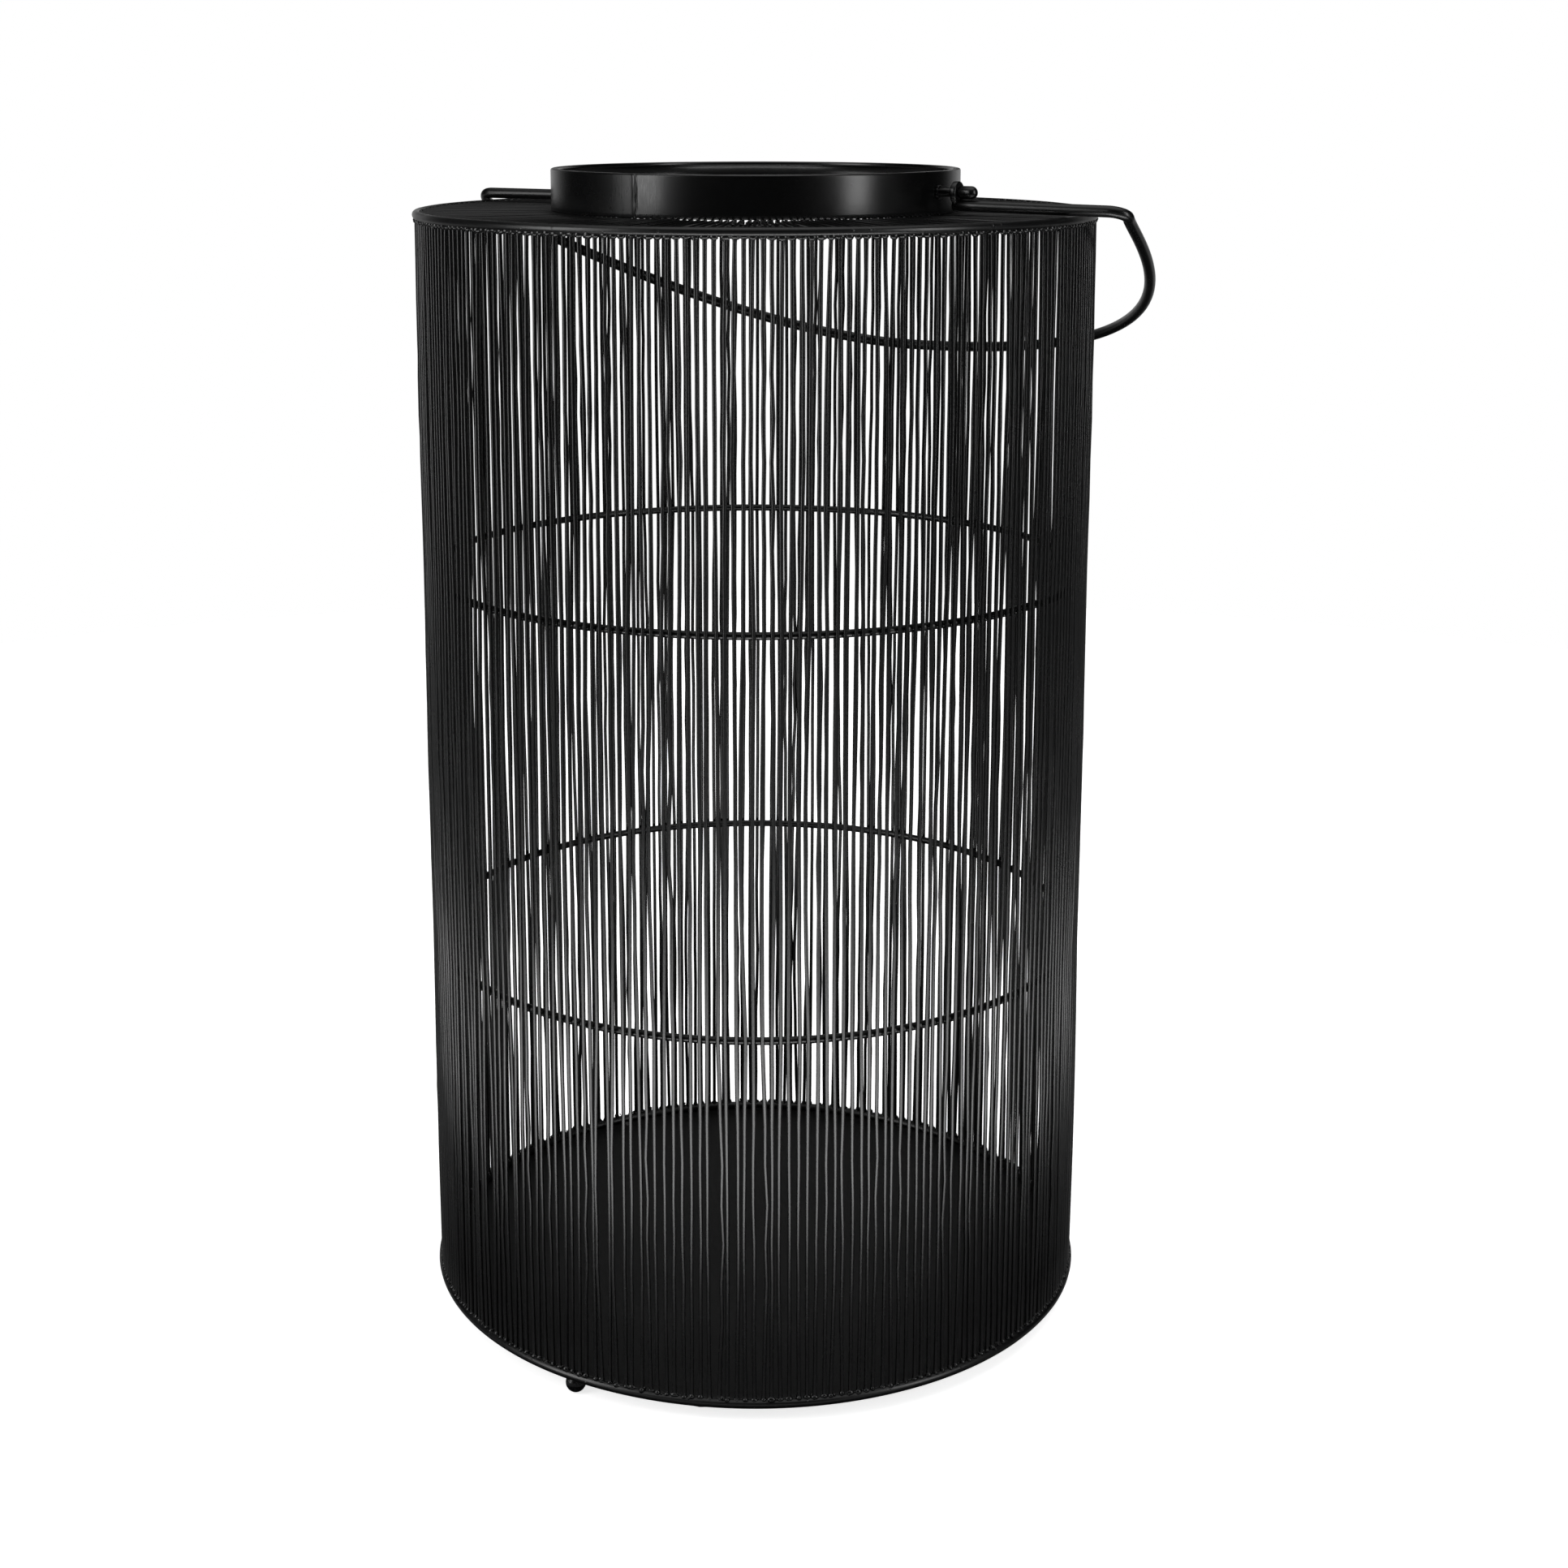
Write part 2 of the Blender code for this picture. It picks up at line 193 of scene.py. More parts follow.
def black_lacquer(name, roughness, peel=0.0016, peel_depth=0.00004, dust=0.5, stretch=(1.0, 1.0, 1.0),
                  spatter=0.0):
    """Baked satin black lacquer: orange peel, cloudy gloss, rubbed patches, and dust on what faces up.

    peel is the size of the orange peel's lumps, stretch draws the grain out along an axis, and
    spatter is the height of the weld spatter caught under the lacquer.
    """
    made = NodeMaker(bpy.data.materials.new(name))
    place = made.node("ShaderNodeTexCoord", output="Object")
    grain_place = made.node("ShaderNodeMapping", None, {"Vector": place, "Scale": stretch})
    lumps = made.noise(grain_place, peel)
    clouds = made.noise(place, 0.035, detail=3.0)
    rubs = made.noise(grain_place, 0.009, detail=4.0, roughness=0.65).between(0.56, 0.74)
    grit = made.noise(place, 0.0007, detail=1.0).between(0.60, 0.72)
    facing = made.facing_up()
    settled = facing.between(0.35, 0.95) * (grit * 0.6 + clouds.between(0.4, 0.7) * 0.4) * dust
    base = made.colours(rubs * 0.6, LACQUER_BLACK, RUBBED_BLACK)
    colour = made.colours(settled, base, DUSTY_BLACK)
    gloss = roughness + (clouds - 0.5) * 0.14 + (lumps - 0.5) * 0.06 - rubs * 0.05 + settled * 0.25
    relief = lumps * peel_depth + grit * (peel_depth * 0.3)
    if spatter:
        sockets = {"Vector": place, "Scale": 1.0 / SPATTER_PITCH}
        drops = made.node("ShaderNodeTexVoronoi", {"feature": "F1"}, sockets)
        relief = relief + (1.0 - drops.between(0.04, 0.16)) * spatter
    bump = made.node("ShaderNodeBump", None, {"Height": relief, "Strength": 0.55, "Distance": 1.0})
    sockets = {"Base Color": colour, "Roughness": gloss, "Normal": bump, "IOR": LACQUER_IOR}
    shader = made.node("ShaderNodeBsdfPrincipled", None, sockets)
    made.node("ShaderNodeOutputMaterial", None, {"Surface": shader})
    return made.owner


def ground_collar_lacquer():
    """The collar's lacquer: smoother than the rods', with grinding marks beside its butt weld."""
    made = NodeMaker(bpy.data.materials.new("collar_lacquer"))
    place = made.node("ShaderNodeTexCoord", output="Object")
    seam = Vector((math.cos(SEAM_TURN), math.sin(SEAM_TURN), 0.0)) * COLLAR_RADIUS
    sockets = {0: place, 1: (1.0, 1.0, 0.0)}
    level_place = made.node("ShaderNodeVectorMath", {"operation": "MULTIPLY"}, sockets)
    away = made.node("ShaderNodeVectorMath", {"operation": "DISTANCE"}, {0: level_place, 1: seam}, "Value")
    near_seam = 1.0 - away.between(0.004, 0.020)
    marks_place = made.node("ShaderNodeMapping", None, {"Vector": place, "Scale": (1.0, 1.0, 0.12)})
    marks = made.noise(marks_place, 0.0009, detail=3.0, roughness=0.7)
    peel = made.noise(place, 0.0022)
    clouds = made.noise(place, 0.030, detail=3.0)
    scuffs = made.noise(place, 0.0060, detail=5.0, roughness=0.7).between(0.60, 0.76)
    facing = made.facing_up()
    settled = facing.between(0.5, 0.95) * clouds.between(0.35, 0.7)
    rubbed = near_seam * marks.between(0.4, 0.8) * 0.8 + scuffs * 0.3
    base = made.colours(rubbed, LACQUER_BLACK, RUBBED_BLACK)
    colour = made.colours(settled * 0.5, base, DUSTY_BLACK)
    gloss = 0.26 + (clouds - 0.5) * 0.10 + near_seam * (marks - 0.35) * 0.35 - scuffs * 0.05 + settled * 0.2
    relief = peel * 0.00003 + near_seam * marks * 0.00006
    bump = made.node("ShaderNodeBump", None, {"Height": relief, "Strength": 0.5, "Distance": 1.0})
    sockets = {"Base Color": colour, "Roughness": gloss, "Normal": bump, "IOR": LACQUER_IOR}
    shader = made.node("ShaderNodeBsdfPrincipled", None, sockets)
    made.node("ShaderNodeOutputMaterial", None, {"Surface": shader})
    return made.owner


RING_LACQUER = black_lacquer("ring_lacquer", 0.33, peel=0.0018, spatter=0.00025)
HOOP_LACQUER = black_lacquer("hoop_lacquer", 0.30, peel=0.0014, spatter=0.00015)
WIRE_LACQUER = black_lacquer("wire_lacquer", 0.26, peel=0.0011, dust=0.3, stretch=(1.0, 1.0, 0.18))
TOP_WIRE_LACQUER = black_lacquer("top_wire_lacquer", 0.30, peel=0.0010, dust=0.5)
PLATE_LACQUER = black_lacquer("plate_lacquer", 0.50, peel=0.0024, peel_depth=0.00007, dust=0.4)
FOOT_LACQUER = black_lacquer("foot_lacquer", 0.28, peel=0.0012)
PIN_LACQUER = black_lacquer("pin_lacquer", 0.30, peel=0.0010, dust=0.2)
BAIL_LACQUER = black_lacquer("bail_lacquer", 0.30, peel=0.0016, peel_depth=0.00003)
COLLAR_LACQUER = ground_collar_lacquer()


# ---- shapes -------------------------------------------------------------------------------------
def drop_shape():
    """A unit ball as points and faces, the start of every weld bead."""
    shape = bmesh.new()
    bmesh.ops.create_icosphere(shape, subdivisions=2, radius=1.0)
    points = [vertex.co.copy() for vertex in shape.verts]
    faces = [tuple(vertex.index for vertex in face.verts) for face in shape.faces]
    shape.free()
    return points, faces


DROP_POINTS, DROP_FACES = drop_shape()


class Work:
    """Points and faces of one piece, added shape by shape."""

    def __init__(self):
        self.points = []
        self.faces = []

    def rings(self, rings, closed=False, capped=True):
        """A skin over rings of points that all hold the same number of points."""
        first = len(self.points)
        count = len(rings[0])
        for ring in rings:
            self.points += ring
        last = len(rings) if closed else len(rings) - 1
        for row in range(last):
            here = first + row * count
            above = first + (row + 1) % len(rings) * count
            for column in range(count):
                beside = (column + 1) % count
                self.faces.append((here + column, here + beside, above + beside, above + column))
        if capped and not closed:
            self.faces.append(tuple(first + column for column in reversed(range(count))))
            self.faces.append(tuple(first + last * count + column for column in range(count)))

    def rod(self, path, radii, sides, closed=False, upward=UP):
        """A round rod along a path. Its section doesn't twist."""
        rings = []
        side = None
        for number, point in enumerate(path):
            after = path[(number + 1) % len(path)] if closed else path[min(number + 1, len(path) - 1)]
            before = path[number - 1] if closed else path[max(number - 1, 0)]
            along = (after - before).normalized()
            side = (upward if side is None or closed else side)
            side = (side - along * side.dot(along)).normalized()
            other = along.cross(side)
            turns = [2.0 * math.pi * step / sides for step in range(sides)]
            radius = radii[number]
            rings.append([point + (side * math.cos(t) + other * math.sin(t)) * radius for t in turns])
        self.rings(rings, closed=closed)

    def bead(self, centre, along, outward, size, luck, lump=0.12):
        """A weld bead: a lumpy drop, size along three axes: along, outward and across them."""
        across = along.cross(outward).normalized()
        first = len(self.points)
        for point in DROP_POINTS:
            swell = 1.0 + luck.uniform(-lump, lump)
            step = along * point.x * size[0] + outward * point.y * size[1] + across * point.z * size[2]
            self.points.append(centre + step * swell)
        self.faces += [tuple(first + corner for corner in face) for face in DROP_FACES]

    def turned(self, profile, steps, place=Matrix.Identity(4)):
        """A closed profile of (radius, height) points turned about Z, then placed."""
        rings = []
        for step in range(steps):
            turn = 2.0 * math.pi * step / steps
            flat = [Vector((r * math.cos(turn), r * math.sin(turn), h)) for r, h in profile]
            rings.append([place @ point for point in flat])
        self.rings(rings, closed=True)

    def make(self, name, lacquer, body, nodes, sharp=50.0):
        """The finished piece: one mesh that rides a body and stands for its nodes."""
        mesh = bpy.data.meshes.new(name)
        mesh.from_pydata(self.points, [], self.faces)
        shape = bmesh.new()
        shape.from_mesh(mesh)
        bmesh.ops.remove_doubles(shape, verts=shape.verts, dist=1e-7)
        bmesh.ops.dissolve_degenerate(shape, edges=shape.edges, dist=1e-8)
        bmesh.ops.recalc_face_normals(shape, faces=shape.faces)
        shape.to_mesh(mesh)
        shape.free()
        mesh.shade_smooth()
        mesh.set_sharp_from_angle(angle=math.radians(sharp))
        mesh.materials.append(lacquer)
        piece = bpy.data.objects.new(name, mesh)
        bpy.context.scene.collection.objects.link(piece)
        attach(piece, body)
        if nodes:
            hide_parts(*nodes)
        return piece


def around(turn, radius, height):
    return Vector((radius * math.cos(turn), radius * math.sin(turn), height))


def wall_radius(height):
    """The wall wires' centre line: the cage widens slightly from the top ring to the base ring."""
    share = (TOP_HEIGHT - height) / (TOP_HEIGHT - BASE_HEIGHT)
    return TOP_RADIUS + (BASE_RADIUS - TOP_RADIUS) * share


# ---- rings and hoops ----------------------------------------------------------------------------
def rolled_ring(name, node, radius, height, rod, lacquer, weld_turn, sides=16, steps=360):
    """A rolled rod whose ends meet in a ground butt weld, very slightly out of round."""
    path = []
    radii = []
    for step in range(steps):
        turn = 2.0 * math.pi * step / steps
        ripple = noise.noise(around(turn, 6.0, height * 9.0)) * 0.00010
        path.append(around(turn, radius + ripple, height + ripple * 0.5))
        gap = math.remainder(turn - weld_turn, 2.0 * math.pi) * radius
        radii.append(rod / 2 + 0.00032 * math.exp(-(gap / 0.0022) ** 2))
    work = Work()
    work.rod(path, radii, sides, closed=True)
    return work.make(name, lacquer, "lantern", [node])


def make_rings():
    rolled_ring("top_ring_rod", "top_ring", TOP_RADIUS, TOP_HEIGHT, TOP_ROD, RING_LACQUER,
                math.radians(128.0))
    rolled_ring("base_ring_rod", "base_ring", BASE_RADIUS, BASE_HEIGHT, BASE_ROD, RING_LACQUER,
                math.radians(-68.0))
    rolled_ring("upper_hoop_rod", "upper_hoop", UPPER_RADIUS, UPPER_HEIGHT, HOOP_ROD, HOOP_LACQUER,
                math.radians(60.0), sides=12)
    rolled_ring("lower_hoop_rod", "lower_hoop", LOWER_RADIUS, LOWER_HEIGHT, HOOP_ROD, HOOP_LACQUER,
                math.radians(200.0), sides=12)
    rolled_ring("collar_ring_rod", "collar_ring", UNDER_RADIUS, UNDER_HEIGHT, COLLAR_RING_ROD, RING_LACQUER,
                math.radians(20.0), sides=14)


# ---- wires --------------------------------------------------------------------------------------
SPREAD = 0.00045               # how far a wire is off its mark at a weld
BOW = 0.00065                  # how far it bows sideways between welds
STRAY_SHARE = 0.10             # one wire in ten is bent more
STRAY_BOW = 0.0022
SPAN_STEPS = 9


def wire_bow(luck):
    """Sideways bow and ripple of one span of wire, as a function of the share along it."""
    stray = luck.random() < STRAY_SHARE
    bow = luck.choice((-1.0, 1.0)) * luck.uniform(0.6, 1.0) * STRAY_BOW if stray else luck.gauss(0.0, BOW)
    ripple = luck.gauss(0.0, 0.00032)
    waves = luck.uniform(2.0, 4.5)
    phase = luck.uniform(0.0, 2.0 * math.pi)

    def offset(share):
        envelope = math.sin(math.pi * share)
        return bow * envelope + ripple * envelope * math.sin(2.0 * math.pi * waves * share + phase)

    return offset


def wall_wire(work, turn, luck):
    """One upright wire, welded under the top ring, on the base ring and to both hoops."""
    stations = (WALL_BOTTOM - 0.0004, LOWER_HEIGHT, UPPER_HEIGHT, WALL_TOP + 0.0004)
    marks = [luck.gauss(0.0, SPREAD) for _ in stations]
    path = []
    for span in range(3):
        low, high = stations[span], stations[span + 1]
        sideways = wire_bow(luck)
        outwards = wire_bow(luck)
        shares = [step / SPAN_STEPS for step in range(SPAN_STEPS + (span == 2))]
        if span == 0:
            shares = [0.0, 0.006, 0.014] + shares[1:]
        if span == 2:
            shares = shares[:-1] + [0.986, 0.994, 1.0]
        for share in shares:
            height = low + (high - low) * share
            side = marks[span] * (1.0 - share) + marks[span + 1] * share + sideways(share)
            radius = wall_radius(height)
            path.append(around(turn + side / radius, radius + abs(outwards(share)) * 0.5, height))
    radii = [WALL_WIRE / 2] * len(path)
    for end, swell in ((0, 1.5), (1, 1.15), (-1, 1.35), (-2, 1.1)):
        radii[end] *= swell
    work.rod(path, radii, 8, upward=around(turn, 1.0, 0.0))
    return marks


def wall_welds(work, turn, marks, luck):
    """The beads on one wall wire: under the top ring, on the base ring and at the hoops."""
    top_turn = turn + marks[3] / TOP_RADIUS
    radius = TOP_RADIUS + luck.uniform(-0.0002, 0.0005)
    top = around(top_turn, radius, WALL_TOP + luck.uniform(-0.0002, 0.0004))
    outward = around(top_turn, 1.0, 0.0)
    size = (luck.uniform(0.0015, 0.0024), luck.uniform(0.0015, 0.0020), luck.uniform(0.0023, 0.0032))
    work.bead(top, UP, outward, size, luck)
    base_turn = turn + marks[0] / BASE_RADIUS
    outward = around(base_turn, 1.0, 0.0)
    radius = BASE_RADIUS + luck.uniform(0.0, 0.0008)
    base = around(base_turn, radius, WALL_BOTTOM + luck.uniform(-0.0003, 0.0004))
    size = (luck.uniform(0.0012, 0.0022), luck.uniform(0.0012, 0.0019), luck.uniform(0.0015, 0.0026))
    work.bead(base, UP, outward, size, luck)
    for _ in range(luck.choice((0, 1, 1, 2))):
        beside = base_turn + luck.uniform(-0.0024, 0.0024) / BASE_RADIUS
        radius = BASE_RADIUS + luck.uniform(-0.0002, 0.0016)
        centre = around(beside, radius, WALL_BOTTOM + luck.uniform(-0.0006, 0.0016))
        drop = luck.uniform(0.0004, 0.0009)
        tall = drop * luck.uniform(0.8, 2.2)
        lean = Vector((luck.uniform(-0.4, 0.4), luck.uniform(-0.4, 0.4), 1.0)).normalized()
        flat = (outward - lean * outward.dot(lean)).normalized()
        work.bead(centre, lean, flat, (tall, drop, drop), luck)
    hoops = ((LOWER_HEIGHT, LOWER_RADIUS, marks[1]), (UPPER_HEIGHT, UPPER_RADIUS, marks[2]))
    for height, radius, mark in hoops:
        hoop_turn = turn + mark / radius
        outward = around(hoop_turn, 1.0, 0.0)
        centre = around(hoop_turn, radius + HOOP_ROD / 2, height + luck.uniform(-0.0004, 0.0004))
        size = (luck.uniform(0.0009, 0.0014), 0.0007, luck.uniform(0.0011, 0.0015))
        work.bead(centre, UP, outward, size, luck)


def make_wall_wires():
    pitch = 2.0 * math.pi / (SECTORS * WALL_WIRES)
    for sector in range(SECTORS):
        luck = random.Random(100 + sector)
        work = Work()
        for number in range(WALL_WIRES):
            turn = (sector * WALL_WIRES + number + 0.5) * pitch
            marks = wall_wire(work, turn, luck)
            wall_welds(work, turn, marks, luck)
        name = f"{sector + 1:02d}"
        work.make(f"round_wall_wires_{name}", WIRE_LACQUER, "lantern", [f"wall_wires_{name}"])


def make_top_wires():
    """Spoke-like wires from under the collar to the inside of the top ring, with their welds."""
    pitch = 2.0 * math.pi / (SECTORS * TOP_WIRES)
    inner = COLLAR_RADIUS - 0.0026
    outer = TOP_RADIUS - TOP_ROD / 2 + 0.0005
    steps = 9
    for sector in range(SECTORS):
        luck = random.Random(300 + sector)
        work = Work()
        for number in range(TOP_WIRES):
            turn = (sector * TOP_WIRES + number + 0.5) * pitch
            start = turn + luck.gauss(0.0, 0.00025) / inner
            end = turn + luck.gauss(0.0, 0.00040) / outer
            sideways = wire_bow(luck)
            dip = luck.uniform(-0.0003, 0.0002)
            path = []
            for step in range(steps + 1):
                share = step / steps
                radius = inner + (outer - inner) * share
                bend = start + (end - start) * share + sideways(share) * 0.35 / radius
                path.append(around(bend, radius, TOP_WIRE_LEVEL + dip * math.sin(math.pi * share)))
            work.rod(path, [TOP_WIRE / 2] * len(path), 8)
            outward = around(end, 1.0, 0.0)
            tall = luck.uniform(0.0009, 0.0013)
            size = (tall, luck.uniform(0.0008, 0.0014), luck.uniform(0.0011, 0.0016))
            work.bead(around(end, outer - 0.0004, TOP_WIRE_LEVEL + 0.0002), UP, outward, size, luck)
            tack_turn = start + luck.gauss(0.0, 0.0006) / inner
            tack = around(tack_turn, UNDER_RADIUS, TOP_WIRE_LEVEL - TOP_WIRE / 2)
            heaped = noise.noise(around(turn, 7.0, 2.4)) > 0.12
            tall = luck.uniform(0.0018, 0.0022) if heaped else luck.uniform(0.0007, 0.0013)
            wide = luck.uniform(0.0017, 0.0024)
            work.bead(tack, UP, around(start, 1.0, 0.0), (tall, 0.0018, wide), luck)
        name = f"{sector + 1:02d}"
        work.make(f"round_top_wires_{name}", TOP_WIRE_LACQUER, "lantern", [f"top_wires_{name}"])


# ---- collar -------------------------------------------------------------------------------------
def collar_profile():
    """The collar's section, from the foot of its outer face over the rolled rim to its inner foot."""
    rounding = [math.pi / 2 * step / 5 for step in range(1, 6)]
    rows = 10
    top = COLLAR_HIGH.z
    straight = top - RIM_ROUND - COLLAR_LOW.z
    edge = 0.0003
    outer = [(COLLAR_RADIUS - edge, COLLAR_LOW.z)]
    heights = [COLLAR_LOW.z + edge + (straight - edge) * row / rows for row in range(rows + 1)]
    outer += [(COLLAR_RADIUS, height) for height in heights]
    centre = (COLLAR_RADIUS - RIM_ROUND, top - RIM_ROUND)
    outer += [(centre[0] + RIM_ROUND * math.cos(a), centre[1] + RIM_ROUND * math.sin(a)) for a in rounding]
    lip = COLLAR_RADIUS - COLLAR_LIP
    centre = (lip + RIM_ROUND, top - RIM_ROUND)
    over = [(centre[0] - RIM_ROUND * math.sin(a), centre[1] + RIM_ROUND * math.cos(a)) for a in rounding]
    low = top - LIP_DEPTH
    inner = COLLAR_RADIUS - COLLAR_SHEET
    under = [(lip, low + edge), (lip + edge, low), (inner - edge, low), (inner, low - edge)]
    foot = [(inner, low - (low - COLLAR_LOW.z - edge) * row / 4) for row in range(1, 5)]
    return outer + [(lip + RIM_ROUND, top)] + over + under + foot + [(inner, COLLAR_LOW.z)]


def collar_turns():
    """Stations round the collar, closer together beside the butt weld."""
    far = [2.0 * math.pi * step / 240 for step in range(240)]
    close = [math.radians(0.12) * step for step in range(-30, 31)]
    reach = close[-1] + math.radians(0.6)
    kept = [turn for turn in far if reach < turn < 2.0 * math.pi - reach]
    return [SEAM_TURN + turn for turn in close + kept]


def make_collar():
    profile = collar_profile()
    rings = []
    for turn in collar_turns():
        gap = math.remainder(turn - SEAM_TURN, 2.0 * math.pi) * COLLAR_RADIUS
        ring = []
        for radius, height in profile:
            wander = noise.noise(Vector((height * 180.0, 3.1, 0.0))) * 0.0006
            ridge = 0.00030 * math.exp(-((gap - wander) / 0.0016) ** 2)
            ridge *= 0.55 + noise.noise(Vector((gap * 900.0, height * 500.0, 1.7)))
            crack = 0.00050 * math.exp(-((gap - wander - 0.0010) / 0.00022) ** 2)
            crack *= max(0.0, noise.noise(Vector((height * 140.0, 8.3, 4.0))) + 0.35)
            slack = 0.00055 * math.exp(gap / 0.007) if gap < 0.0 else -0.00012 * math.exp(-gap / 0.004)
            dents = slack + noise.noise(around(turn, COLLAR_RADIUS * 26.0, height * 12.0)) * 0.00016
            ring.append(around(turn, radius + ridge - crack + dents, height))
        rings.append(ring)
    work = Work()
    work.rings(rings, closed=True)
    return work.make("collar_band", COLLAR_LACQUER, "lantern", ["collar"], sharp=60.0)


# ---- base plate and feet ------------------------------------------------------------------------
def make_base_plate():
    """A sheet disc with a rolled edge, tacked inside the base ring, pressed very slightly uneven."""
    top = PLATE_HIGH.z
    low = PLATE_LOW.z
    rim = BASE_RADIUS - BASE_ROD / 2 + 0.0010
    edge = 0.0004
    inward = [rim - edge - (rim - edge) * step / 14 for step in range(14)]
    radii = [(rim, top - edge)] + [(radius, top) for radius in inward]
    steps = 120
    rings = []
    for radius, height in radii:
        ring = []
        for step in range(steps):
            turn = 2.0 * math.pi * step / steps
            point = around(turn, radius, height)
            if radius < rim:
                point.z += (noise.noise(point * 14.0) - 0.3) * 0.00025
            ring.append(point)
        rings.append(ring)
    underside = [[around(2.0 * math.pi * s / steps, radius, low + lift) for s in range(steps)]
                 for radius, lift in ((inward[-1], 0.0), (rim - edge, 0.0), (rim, edge))]
    work = Work()
    work.rings(list(reversed(rings)) + list(reversed(underside)), capped=True)
    luck = random.Random(41)
    tacks = 24
    for tack in range(tacks):
        turn = 2.0 * math.pi * (tack + luck.uniform(-0.2, 0.2)) / tacks
        centre = around(turn, rim + 0.0003, top - 0.0001)
        work.bead(centre, UP, around(turn, 1.0, 0.0), (0.0009, 0.0014, 0.0026), luck)
    return work.make("base_disc", PLATE_LACQUER, "lantern", ["base_plate"])


def make_feet():
    """Balls welded under the plate's edge, each with a fillet of weld round its neck."""
    for number in range(1, 4):
        low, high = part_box(f"ball_foot_{number}")
        centre = (low + high) / 2
        ball = (high.x - low.x) / 2
        middle = low.z + ball - 0.0002
        arc = [math.pi * step / 16 for step in range(1, 16)]
        profile = [(0.00002, low.z + 0.00004)]
        profile += [(ball * math.sin(a), max(middle - ball * math.cos(a), low.z)) for a in arc]
        profile += [(ball * 0.5, high.z), (0.00002, high.z)]
        work = Work()
        work.turned(profile, 32, Matrix.Translation((centre.x, centre.y, 0.0)))
        luck = random.Random(50 + number)
        for tack in range(9):
            turn = 2.0 * math.pi * tack / 9
            place = Vector((centre.x, centre.y, high.z - 0.0004)) + around(turn, ball * 0.72, 0.0)
            outward = around(turn, 1.0, 0.0)
            work.bead(place, UP, outward, (0.0011, 0.0013, 0.0024), luck)
        work.make(f"ball_foot_{number}_welded", FOOT_LACQUER, "lantern", [f"ball_foot_{number}"])


# ---- pins, caps and the bail --------------------------------------------------------------------
def along_x(side):
    """Turns a shape made along +Z so that it points along +X or -X, at the pins' height."""
    return Matrix.Translation((0.0, 0.0, PIN_HEIGHT)) @ Matrix.Rotation(side * math.pi / 2, 4, "Y")


def make_pins():
    for side, word in ((1, "right"), (-1, "left")):
        radius = PIN_DIAMETER / 2
        start = PIN_LOW.x - 0.0006
        end = PIN_HIGH.x
        fillet = [(radius + 0.0016 * (1.0 - math.sin(a)), start + 0.0022 * (1.0 - math.cos(a)))
                  for a in (math.pi / 2 * step / 6 for step in range(7))]
        profile = [(0.00002, start)] + fillet + [(radius, end), (0.00002, end)]
        work = Work()
        work.turned(profile, 28, along_x(side))
        luck = random.Random(60 + side)
        for tack in range(7):
            turn = 2.0 * math.pi * tack / 7
            ring = along_x(side) @ around(turn, radius + 0.0008, start + 0.0008)
            outward = (along_x(side).to_3x3() @ around(turn, 1.0, 0.0)).normalized()
            work.bead(ring, Vector((side, 0.0, 0.0)), outward, (0.0010, 0.0009, 0.0016), luck)
        work.make(f"pin_{word}", PIN_LACQUER, "lantern", [f"pivot_pin_{word}"])

        low = CAP_LOW.x
        high = CAP_HIGH.x
        wide = CAP_DIAMETER / 2
        arc = [math.pi / 2 * step / 10 for step in range(11)]
        dome = [(wide * math.cos(a), high - wide + wide * math.sin(a)) for a in arc[:-1]]
        lip = 0.0004
        skirt = [(0.00002, low), (wide - lip, low), (wide, low + lip)]
        cap = Work()
        cap.turned(skirt + dome + [(0.00002, high)], 32, along_x(side))
        cap.make(f"domed_cap_{word}", PIN_LACQUER, "lantern", [f"pin_cap_{word}"])


def bezier(corners, count):
    """Points along a cubic curve, without its first point."""
    points = []
    for number in range(1, count + 1):
        t = number / count
        weights = ((1 - t) ** 3, 3 * t * (1 - t) ** 2, 3 * t * t * (1 - t), t ** 3)
        parts = (corner * weight for corner, weight in zip(corners, weights))
        points.append(sum(parts, Vector((0.0, 0.0))))
    return points


def bail_side(reach, corner, arm, lean, pull, crown_pull, mirror):
    """Half of the bail's outline, from under the eye to the crown, drawn as if on the right."""
    start = Vector((BAIL_START, arm[0]))
    arm_end = Vector((reach - corner, arm[1]))
    knee = Vector((reach, arm[1] + corner))
    along = (arm_end - start).normalized()
    away = Vector((math.sin(math.radians(lean)), math.cos(math.radians(lean))))
    points = [start.lerp(arm_end, step / 6) for step in range(7)]
    bend = corner * CORNER_ROUNDNESS
    points += bezier((arm_end, arm_end + along * bend, knee - away * bend, knee), 16)
    crown = Vector((mirror * CROWN_SIDE, CROWN_LENGTH))
    points += bezier((knee, knee + away * pull, crown + Vector((crown_pull, 0.0)), crown), 48)
    return points


